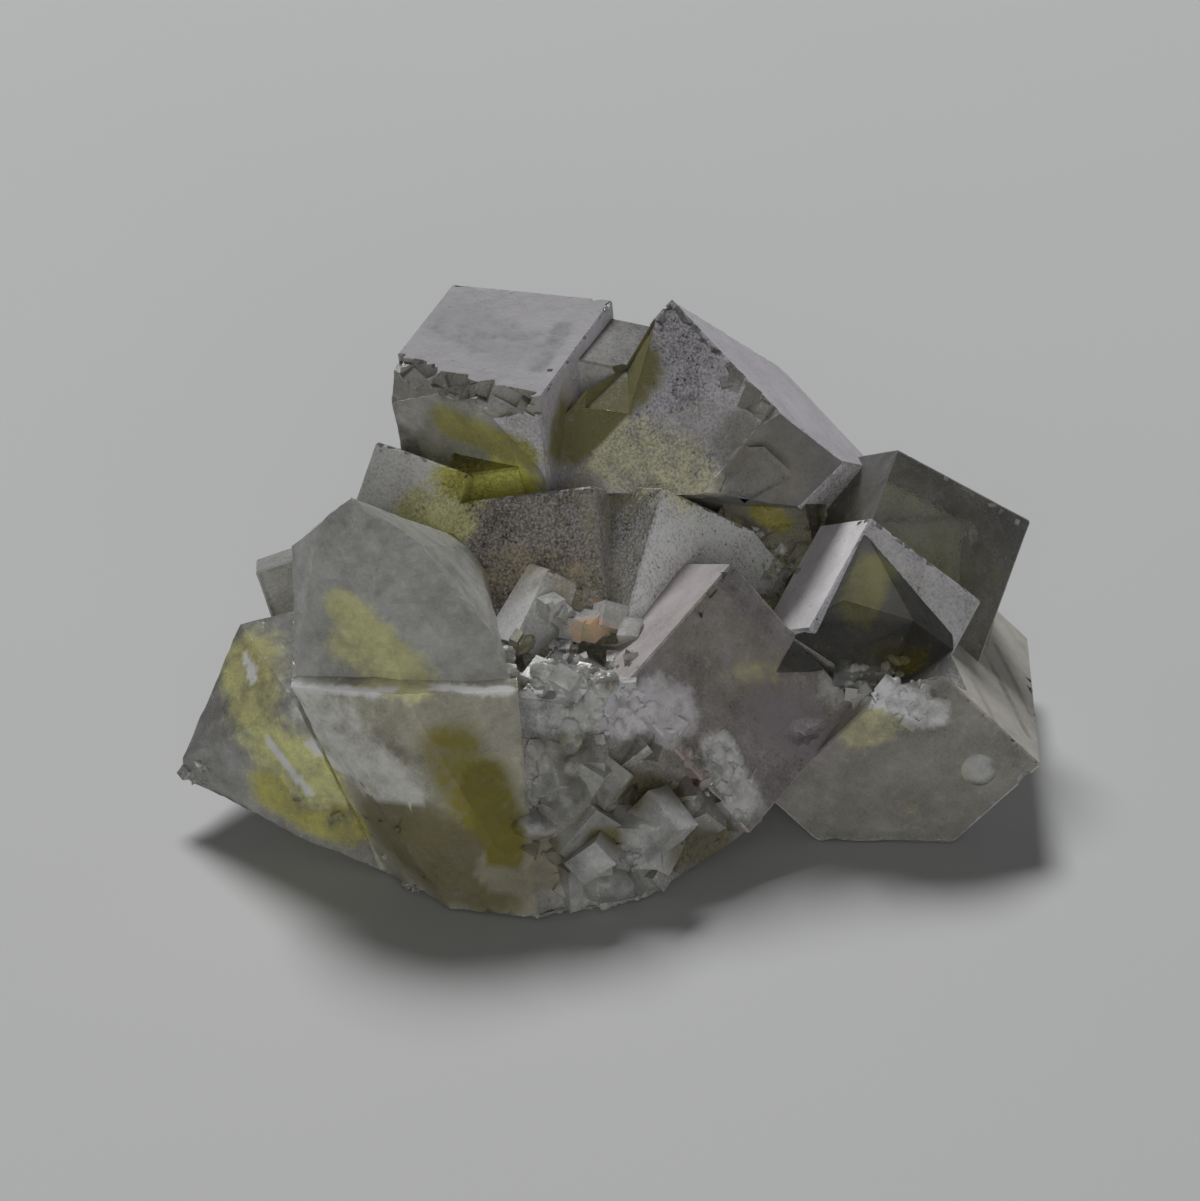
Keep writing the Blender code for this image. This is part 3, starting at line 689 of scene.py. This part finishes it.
# Where the stone is of another colour inside, cracked white or with stains, and a few places of painted
# light
# and shade: within about `radius` of the line from `start` to `end`, and less surely so where `share` is
# low.
# There the zone's own dust and glass take the place of the finish's.
Zone = namedtuple("Zone", "start end radius share dust dust_colour glass")
ZONES = (
    Zone((-16.2, -10.9, 17.6), (-12, -13.6, 15), 1, 1, 0.8, STRAW, YELLOW_GLASS),
    Zone((-16.3, -11.9, 15.7), (-11.4, -13.9, 14.7), 1.1, 0.95, 0.8, (0.66, 0.645, 0.35), YELLOW_GLASS),
    Zone((-9.4, -15.2, 10.4), (-7.4, -15.7, 6.6), 1.5, 0.8, 0.85, (0.2, 0.175, 0.035), HONEY_GLASS),
    Zone((-7.6, -15.6, 8.6), (-6.3, -16, 4.2), 1.3, 0.9, 0.85, (0.16, 0.14, 0.025), HONEY_GLASS),
    Zone((-13, -14.7, 4.4), (-7.6, -15.7, 2.8), 2.4, 0.85, 0.8, UMBER, AMBER_GLASS),
    Zone((-6.6, -16, 3), (-4.4, -16.2, 3.6), 1.6, 0.9, 0.8, (0.24, 0.22, 0.16), (0.5, 0.4, 0.2)),
    Zone((-21.8, -5.6, 10.4), (-17.6, -11, 5.6), 1.9, 0.8, 0.7, (0.6, 0.58, 0.26), YELLOW_GLASS),
    Zone((-20, -9, 4.4), (-15.6, -11.6, 3), 1.2, 0.8, 0.6, MOSS, YELLOW_GLASS),
    Zone((-9, 3, 18.2), (-6.4, 3.6, 17.6), 1.4, 0.95, 0.6, (0.62, 0.6, 0.14), YELLOW_GLASS),
    Zone((-11.6, 1.8, 16.8), (-9.4, 1.6, 16.4), 1.2, 0.9, 0.7, STRAW, YELLOW_GLASS),
    Zone((-10, 6, 20.6), (-5.5, 3.5, 20), 1, 0.9, 0.5, (0.42, 0.4, 0.16), YELLOW_GLASS),
    Zone((-1, 5, 20), (4.4, 2.6, 19), 1.8, 0.65, 0.65, (0.68, 0.66, 0.43), YELLOW_GLASS),
    # Over the chip on the peak's left edge: olive stone with painted shade.
    Zone((-2.6, 5.2, 20.2), (1.2, 6.8, 24), 1.5, 0.95, 0.95, (0.19, 0.175, 0.075), OLIVE),
    Zone((9, 3.6, 16), (10, 3.2, 15), 0.7, 0.9, 0.4, (0.26, 0.23, 0.05), (0.45, 0.4, 0.08)),
    Zone((14.4, -3.4, 12.4), (17.6, -3.2, 9.8), 0.9, 0.7, 0.5, AMBER, (0.5, 0.45, 0.1)),
    Zone((0, -11.4, 11), (3.2, -10.4, 10.4), 1.4, 0.85, 0.85, (0.66, 0.64, 0.66), CLEAR),
    Zone((-3.8, -12.8, 12.4), (-1.6, -12.2, 11.6), 1.2, 0.8, 0.85, (0.62, 0.62, 0.6), CLEAR),
    Zone((6, -10.6, 7.6), (7.7, -11.1, 4.6), 0.9, 0.75, 0.85, (0.62, 0.61, 0.6), CLEAR),
    Zone((-7, -1.4, 14.6), (-3, -2, 14.6), 1.4, 0.55, 0.6, (0.38, 0.32, 0.2), OLIVE),
    Zone((-13, 7.6, 19.6), (-11.4, 7.2, 18.4), 1, 0.6, 0.7, (0.52, 0.51, 0.46), CLEAR),
    Zone((15.8, -7.4, 9.8), (18.8, -7.9, 8.6), 0.8, 0.85, 0.85, WHITE, CLEAR),
    Zone((13.4, -6, 9.2), (15.4, -5, 9.4), 1, 0.8, 0.8, (0.48, 0.475, 0.45), CLEAR),
    # Over the shard under the peak: dark stone with painted shade.
    Zone((7.6, 2, 21.4), (10.4, 2, 18.8), 1.5, 0.7, 0.8, (0.22, 0.205, 0.18), BROWN),
    Zone((3.6, -11.8, 7.6), (4.8, -11.4, 6.2), 0.8, 0.7, 0.7, (0.45, 0.37, 0.35), (0.6, 0.5, 0.46)),
    # In the hollow of the right front crystal: olive stone with painted shade.
    Zone((15.4, -1.3, 14.4), (14.7, -0.9, 12), 1.1, 0.8, 0.8, (0.24, 0.23, 0.12), OLIVE),
    Zone((1.6, -12.8, 6.2), (3, -11.8, 5), 1.1, 0.9, 0.7, PEAT, (0.4, 0.36, 0.2)),
    Zone((-2.4, -14.4, 6.4), (-0.8, -14.8, 4.4), 1.1, 0.85, 0.7, DIM_AMBER, AMBER_GLASS),
    Zone((3.4, -12.6, 2.4), (6, -10.6, 1.6), 1.3, 0.85, 0.7, PEAT, AMBER_GLASS),
    Zone((14.6, -7.8, 7.4), (17.2, -7.8, 8.8), 1.1, 0.6, 0.7, (0.46, 0.44, 0.25), YELLOW_GLASS),
    Zone((23.6, 4, 6.4), (25, -2, 5), 0.3, 0.6, 0.9, (0.46, 0.39, 0.32), BROWN),
    Zone((9.2, -7.6, 9.4), (11.4, -7.4, 7), 1.5, 0.7, 0.8, (0.24, 0.215, 0.225), SMOKE),
    Zone((22.6, 1.5, 7.4), (24.7, -5.5, 5.7), 0.3, 0.6, 0.9, (0.34, 0.31, 0.26), BROWN),
    Zone((21.4, -4.5, 8.8), (22.6, -7.8, 8), 0.3, 0.5, 0.9, (0.36, 0.34, 0.29), BROWN),
    Zone((-2, -5.8, 13), (-0.6, -4.8, 12.6), 0.7, 0.7, 0.85, RUST, (0.8, 0.5, 0.3)),
    Zone((-1.8, -3.6, 14), (-1, -3.2, 13.6), 0.3, 0.7, 0.85, RUST, (0.8, 0.6, 0.45)),
    Zone((-10, 14, 24), (-6.4, 10, 24.2), 1.9, 0.4, 0.9, (0.26, 0.255, 0.26), CLEAR),
    Zone((-3, 12, 24.4), (-4.6, 7, 24.2), 0.6, 0.45, 0.9, (0.24, 0.235, 0.24), CLEAR),
    Zone((-6, 18.5, 10), (-2, 18, 7), 2.2, 0.6, 0.6, HAY, YELLOW_GLASS),
    Zone((-14, 14, 8), (-9, 15.5, 5), 2, 0.6, 0.6, HAY, YELLOW_GLASS),
    Zone((3, 15, 8), (8, 14.5, 5), 2.2, 0.6, 0.6, HAY, YELLOW_GLASS),
    Zone((17, 13.5, 7), (13, 13.5, 4), 2, 0.6, 0.6, HAY, YELLOW_GLASS),
    Zone((-6, 18, 20), (-3, 17, 17), 2, 0.5, 0.7, HAY, YELLOW_GLASS),
    # Along the ledge: a frosted white rim, with painted light where the crease under the upper block lies
    # in shade.
    Zone((-18.8, -11.6, 12.9), (-14.8, -14, 13.9), 0.35, 0.95, 0.95, WHITE, CLEAR),
    Zone((-14.8, -14, 13.9), (-6, -13.8, 13.9), 0.3, 0.95, 0.95, WHITE, CLEAR),
    Zone((-22.4, -4.6, 11), (-16.4, -12.4, 7.6), 0.4, 0.9, 0.95, WHITE, CLEAR),
    Zone((-20.4, -9.4, 7.6), (-18, -10.8, 5), 0.3, 0.9, 0.95, WHITE, CLEAR),
    Zone((-17.8, -12.2, 12), (-13, -14.6, 7.6), 1.7, 0.8, 0.85, (0.5, 0.5, 0.46), CLEAR),
    Zone((-14.4, -13.8, 6), (-12.6, -14.4, 3.4), 0.8, 0.6, 0.8, (0.5, 0.5, 0.45), CLEAR),
)


def finish_of(tag):
    """The finish of the faces with this tag, and which of its sides they are."""
    name, kind = SHAPE_NAMES[tag // KINDS], tag % KINDS
    if name.startswith("hollow"):
        return FINISHES.get(name, FRESH), SIDE_X
    if name in CRYSTAL_NAMED and kind == BROKEN:
        return FINISHES.get(name + " broken", FRESH), SIDE_X
    return FINISHES.get(name, PLAIN), min(kind, SIDE_Z)


RUBBED_DUST = 0.7
ZONE_REACH = 1.9  # radii from a zone's line to where it ends; it fades over the last one
TOP_PAINTED_SHADE = 0.6  # painted shade: the dust on the tops is darkened to this share of its colour
STEEP_PAINTED_LIGHT = 0.9  # painted light: the dust is this much lighter again on upright faces
CRUMB_PAINTED_LIGHT = 1.1  # painted light: crumbs are as light as this all round, without the tops' painted shade
PALEST = 0.85


def finish_layers(corner_tags, corner_places):
    """What each face corner takes from its own shape; `grain` is its place along the crystal's axes."""
    count = len(corner_tags)
    dust = np.zeros(count)
    grit = np.zeros(count)
    colour = np.ones((count, 4))
    glass = np.ones((count, 4))
    grain = np.zeros((count, 3))
    for tag in np.unique(corner_tags):
        mine = corner_tags == tag
        finish, side = finish_of(tag)
        dust[mine] = RUBBED_DUST if tag % KINDS == RUBBED else finish.dust[side]
        grit[mine] = finish.grit
        # Each side's shade factor carries the crystal's own lightness and painted light and shade for that
        # side.
        colour[mine, :3] = np.array(finish.colour) * finish.shade[side]
        glass[mine, :3] = finish.glass
        grain[mine] = corner_places[mine]
        crystal = CRYSTAL_NAMED.get(SHAPE_NAMES[tag // KINDS])
        if crystal:
            grain[mine] = (corner_places[mine] - np.array(crystal.corner)) @ np.array(turn_of(crystal))
    return dust, grit, colour, glass, grain


def stain_and_painted_light_layers(corner_places):
    """What each face corner takes from the zone that holds it most surely."""
    count = len(corner_places)
    stain = np.zeros(count)
    dust = np.full(count, 0.5)
    colour = np.ones((count, 4))
    glass = np.ones((count, 4))
    for zone in ZONES:
        start = np.array(zone.start)
        line = np.array(zone.end) - start
        along = np.clip((corner_places - start) @ line / (line @ line), 0, 1)
        away = np.linalg.norm(corner_places - start - along[:, None] * line, axis=1)
        share = zone.share * np.clip(ZONE_REACH - away / zone.radius, 0, 1)
        nearer = share > stain
        stain[nearer] = share[nearer]
        dust[nearer] = zone.dust
        colour[nearer, :3] = zone.dust_colour
        glass[nearer, :3] = zone.glass
    return stain, dust, colour, glass


def paint(mesh):
    """Write what changes over the stone as attributes of the face corners, three to each triangle."""
    places = np.empty(len(mesh.vertices) * 3)
    mesh.vertices.foreach_get("co", places)
    places = places.reshape(-1, 3) / MM - np.array(TO_FRAME)
    corners = np.empty(len(mesh.loops), int)
    mesh.loops.foreach_get("vertex_index", corners)
    normals = np.empty(len(mesh.polygons) * 3)
    mesh.polygons.foreach_get("normal", normals)
    steep = 1 - np.clip(normals.reshape(-1, 3)[:, 2], 0, 1)
    tags = np.empty(len(mesh.polygons), int)
    mesh.attributes["tag"].data.foreach_get("value", tags)
    corner_tags = np.repeat(tags, 3)

    dust, grit, dust_colour, glass, grain = finish_layers(corner_tags, places[corners])
    stain, stain_dust, stain_colour, stain_glass = stain_and_painted_light_layers(places[corners])
    # Painted light and shade: the dust is darkened on the tops and lightened on upright faces, and crumbs
    # are lightened all round.
    painted_light_tone = np.repeat(TOP_PAINTED_SHADE + STEEP_PAINTED_LIGHT * steep, 3)[:, None]
    for name in CRUMBS:
        painted_light_tone[corner_tags // KINDS == SHAPE_NAMES.index(name)] = CRUMB_PAINTED_LIGHT
    for colour in (dust_colour, stain_colour):
        colour[:, :3] = np.minimum(colour[:, :3] * painted_light_tone, PALEST)

    rubbed = (corner_tags % KINDS == RUBBED).astype(float)
    numbers = {"dust": dust, "rubbed": rubbed, "grit": grit, "stain": stain, "stain_dust": stain_dust}
    for name, values in numbers.items():
        mesh.attributes.new(name, "FLOAT", "CORNER").data.foreach_set("value", values)
    colours = {
        "dust_colour": dust_colour,
        "glass": glass,
        "stain_colour": stain_colour,
        "stain_glass": stain_glass,
    }
    for name, values in colours.items():
        mesh.attributes.new(name, "FLOAT_COLOR", "CORNER").data.foreach_set("color", values.ravel())
    mesh.attributes.new("grain", "FLOAT_VECTOR", "CORNER").data.foreach_set("vector", grain.ravel())


# ------------------------------------------------------------------------------------------------
# Shader maths as expressions
# ------------------------------------------------------------------------------------------------


class Value:
    """A socket whose operators add Math nodes."""

    def __init__(self, surface, socket):
        self.surface = surface
        self.socket = socket

    def math(self, operation, *values):
        return self.surface.node("ShaderNodeMath", {"operation": operation}, values)

    def __add__(self, other):
        return self.math("ADD", self, other)

    def __radd__(self, other):
        return self.math("ADD", other, self)

    def __sub__(self, other):
        return self.math("SUBTRACT", self, other)

    def __rsub__(self, other):
        return self.math("SUBTRACT", other, self)

    def __mul__(self, other):
        return self.math("MULTIPLY", self, other)

    def __rmul__(self, other):
        return self.math("MULTIPLY", other, self)

    def clamped(self):
        return self.surface.node("ShaderNodeClamp", {}, (self, 0, 1))

    def ramp(self, low, high):
        """0 below low, 1 above high, smooth between."""
        return self.surface.node(
            "ShaderNodeMapRange", {"interpolation_type": "SMOOTHSTEP"}, (self, low, high, 0, 1)
        )


class Surface:
    """A material's node tree, and the one way to add a node to it."""

    def __init__(self, name):
        self.material = bpy.data.materials.new(name)
        self.material.use_nodes = True
        self.tree = self.material.node_tree
        self.tree.nodes.clear()

    def node(self, kind, settings, values, out=0):
        """Add a node. `values` gives its inputs, by name or in their order, as sockets or as constants."""
        node = self.tree.nodes.new(kind)
        for setting, value in settings.items():
            setattr(node, setting, value)
        pairs = values.items() if isinstance(values, dict) else enumerate(values)
        for key, value in pairs:
            if isinstance(value, Value):
                self.tree.links.new(value.socket, node.inputs[key])
            else:
                node.inputs[key].default_value = value
        return Value(self, node.outputs[out]) if node.outputs else None

    def attribute(self, name, out="Fac"):
        return self.node("ShaderNodeAttribute", {"attribute_name": name}, (), out)

    def noise(self, place, scale, detail, roughness):
        values = {"Vector": place, "Scale": scale, "Detail": detail, "Roughness": roughness}
        return self.node("ShaderNodeTexNoise", {}, values)

    def mixed(self, share, first, second):
        """One colour into another; the Mix node's colours are its inputs 6 and 7 and its output 2."""
        return self.node("ShaderNodeMix", {"data_type": "RGBA"}, {0: share, 6: first, 7: second}, 2)

    def scaled(self, colour, amount):
        return self.node("ShaderNodeVectorMath", {"operation": "SCALE"}, {0: colour, "Scale": amount})


FLUORITE_IOR = 1.434


def fluorite():
    """Clear stone under dust that lies unevenly, is speckled and pitted, has stains in places and carries
    painted light and shade.
    """
    stone = Surface("frosted fluorite")
    place = stone.node("ShaderNodeTexCoord", {}, (), "Object")
    place = stone.node("ShaderNodeVectorMath", {"operation": "MULTIPLY"}, (place, even(1 / MM)))
    grain = stone.attribute("grain", "Vector")
    dust = stone.attribute("dust")
    grit = stone.attribute("grit")
    rubbed = stone.attribute("rubbed")

    clouds = stone.noise(place, 0.35, 1, 0.5)
    patches = stone.noise(grain, 1.1, 3, 0.6)
    speckle = stone.noise(place, 6.0, 1, 0.7)
    pits = stone.node("ShaderNodeTexVoronoi", {}, {"Vector": grain, "Scale": 1.3}, "Distance")
    pitted = (1 - pits.ramp(0.08, 0.18)) * grit

    stain_and_painted_light_share = (stone.attribute("stain") + (patches - 0.5) * 0.9 + (clouds - 0.5) * 0.5).ramp(0.15, 0.95)
    dusted = dust + (stone.attribute("stain_dust") - dust) * stain_and_painted_light_share
    uneven = dusted + (clouds - 0.5) * 0.35 + (patches - 0.5) * 0.35
    amount = uneven + (speckle - 0.5) * grit * 1.2 - pitted * 0.4
    cover = (amount.ramp(0.05, 0.95) + speckle.ramp(0.6, 0.7) * grit * 0.25).clamped()

    shade = 0.85 + (clouds - 0.5) * 0.3 + (patches - 0.5) * 0.25 + speckle * grit * 0.2 - rubbed * 0.1
    dust_colour, stain_colour = (stone.attribute(name, "Color") for name in ("dust_colour", "stain_colour"))
    dust_colour = stone.scaled(stone.mixed(stain_and_painted_light_share, dust_colour, stain_colour), shade)
    glass, stain_glass = (stone.attribute(name, "Color") for name in ("glass", "stain_glass"))
    glass = stone.mixed(stain_and_painted_light_share, glass, stain_glass)

    height = patches * 0.6 + speckle * (0.1 + grit * 0.2) - pitted * 0.4
    bumped = stone.node("ShaderNodeBump", {}, {"Strength": 0.6, "Distance": 0.00015, "Height": height})
    clear = stone.node("ShaderNodeBsdfPrincipled", {}, {
        "Base Color": glass,
        "Roughness": 0.12 + patches.ramp(0.4, 0.7) * 0.2,
        "IOR": FLUORITE_IOR,
        "Transmission Weight": 1.0,
        "Normal": bumped,
    })
    dusty = stone.node("ShaderNodeBsdfPrincipled", {}, {
        "Base Color": dust_colour,
        "Roughness": 0.38 + speckle * 0.25 + stain_and_painted_light_share * 0.3,
        "IOR": FLUORITE_IOR,
        "Normal": bumped,
    })
    skin = stone.node("ShaderNodeMixShader", {}, (cover, clear, dusty))
    inside = stone.node("ShaderNodeVolumeAbsorption", {}, {"Color": (0.8, 0.77, 0.42, 1), "Density": 100.0})
    stone.node("ShaderNodeOutputMaterial", {}, {"Surface": skin, "Volume": inside})
    return stone.material


def floor_paint():
    floor = Surface("pale floor")
    place = floor.node("ShaderNodeTexCoord", {}, (), "Object")
    cloud = floor.noise(place, 9.0, 3, 0.5)
    colour = floor.mixed(cloud, (0.46, 0.465, 0.465, 1), (0.5, 0.505, 0.505, 1))
    skin = floor.node("ShaderNodeBsdfPrincipled", {}, {"Base Color": colour, "Roughness": 0.7})
    floor.node("ShaderNodeOutputMaterial", {}, {"Surface": skin})
    return floor.material


# ------------------------------------------------------------------------------------------------
# The specimen and its stage
# ------------------------------------------------------------------------------------------------


def build_specimen():
    """The finished stone, kept inside the CAD box and riding on the frame."""
    stone = joined_stone()
    bm = bmesh.new()
    bm.from_mesh(stone.data)
    outer_skin(bm)
    refine(bm, FINEST)
    roughen(bm)
    low = cad_low / MM - TO_FRAME
    high = cad_high / MM - TO_FRAME
    for vert in bm.verts:
        vert.co = Vector([min(max(value, low[axis]), high[axis]) for axis, value in enumerate(vert.co)])
    bm.transform(Matrix.Scale(MM, 4) @ Matrix.Translation(TO_FRAME))
    bm.to_mesh(stone.data)
    bm.free()
    stone.name = "specimen"
    stone.data.name = "specimen"
    stone.data.shade_smooth()
    stone.data.set_sharp_from_angle(angle=math.radians(SHARP))
    paint(stone.data)
    stone.data.materials.clear()
    stone.data.materials.append(fluorite())
    stone.data.polygons.foreach_set("material_index", [0] * len(stone.data.polygons))
    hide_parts("fluorite_cluster")
    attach(stone, "root")


# The floor and the lamps are placed in metres.
FLOOR_REACH = 3.0
FLOOR_LEVEL = -0.00004  # a hair under the stone, so that the two never share a plane


def build_floor():
    mesh = bpy.data.meshes.new("floor")
    sides = ((-1, -1), (1, -1), (1, 1), (-1, 1))
    corners = [(x * FLOOR_REACH, y * FLOOR_REACH, FLOOR_LEVEL) for x, y in sides]
    mesh.from_pydata(corners, [], [(0, 1, 2, 3)])
    floor = bpy.data.objects.new("floor", mesh)
    bpy.context.scene.collection.objects.link(floor)
    mesh.materials.append(floor_paint())


AIM = Vector((0, 0, 0.01))  # where the lamps point


def add_area_light(name, place, size, power):
    lamp = bpy.data.lights.new(name, "AREA")
    lamp.shape = "DISK"
    lamp.size = size
    lamp.energy = power
    thing = bpy.data.objects.new(name, lamp)
    bpy.context.scene.collection.objects.link(thing)
    thing.location = place
    thing.rotation_euler = (AIM - Vector(place)).to_track_quat("-Z", "Y").to_euler()


def light_studio():
    world = bpy.data.worlds.new("studio")
    world.use_nodes = True
    background = world.node_tree.nodes["Background"]
    background.inputs["Color"].default_value = (1, 1, 1, 1)
    background.inputs["Strength"].default_value = 0.07
    bpy.context.scene.world = world
    add_area_light("key", (-0.18, 0.69, 1.05), size=0.5, power=12.9)
    add_area_light("front fill", (0.08, -1, 0.24), size=0.8, power=3)
    bpy.context.scene.view_settings.view_transform = "Standard"


CAMERA_TARGET = Vector((-0.8, 0, 11.8))  # in the lists' millimetres, like the next
CAMERA_AWAY = 350
CAMERA_RISE = math.radians(30)


def add_camera():
    lens = bpy.data.cameras.new("camera")
    lens.lens = 175
    lens.sensor_width = 36
    lens.sensor_fit = "HORIZONTAL"
    lens.clip_start = 0.01
    lens.clip_end = 20
    eye = bpy.data.objects.new("camera", lens)
    bpy.context.scene.collection.objects.link(eye)
    back = Vector((0, -math.cos(CAMERA_RISE), math.sin(CAMERA_RISE)))
    eye.location = (CAMERA_TARGET + TO_FRAME + CAMERA_AWAY * back) * MM
    eye.rotation_euler = (math.pi / 2 - CAMERA_RISE, 0, 0)
    bpy.context.scene.camera = eye


build_specimen()
build_floor()
light_studio()
add_camera()
